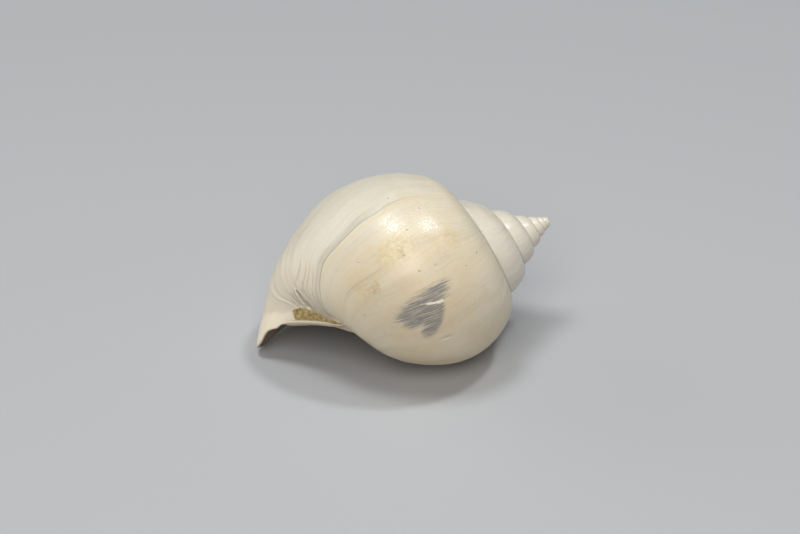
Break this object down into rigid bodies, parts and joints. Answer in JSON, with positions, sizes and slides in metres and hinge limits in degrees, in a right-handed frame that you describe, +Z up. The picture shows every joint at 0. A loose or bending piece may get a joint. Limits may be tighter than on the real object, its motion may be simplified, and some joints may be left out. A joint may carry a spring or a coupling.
{
  "type": "fossil moon snail shell",
  "caption": "Pale stone fossil sea snail shell with a large round last turn, a short stepped spire and an open mouth it rests on.",
  "frame": {"origin": "centre of the bottom of the bounding box, on the table the shell rests on", "axes": "+Z up; +X towards the tip of the spire, which is seen from above; the mouth faces down, its free outer lip towards +Y"},
  "size_m": [0.035, 0.026, 0.0218],
  "materials": {
    "fossil_shell": "smooth ivory stone with fine growth lines"
  },
  "bodies": {
    "root": {"shell": "fossil_shell"}
  },
  "joints": []
}
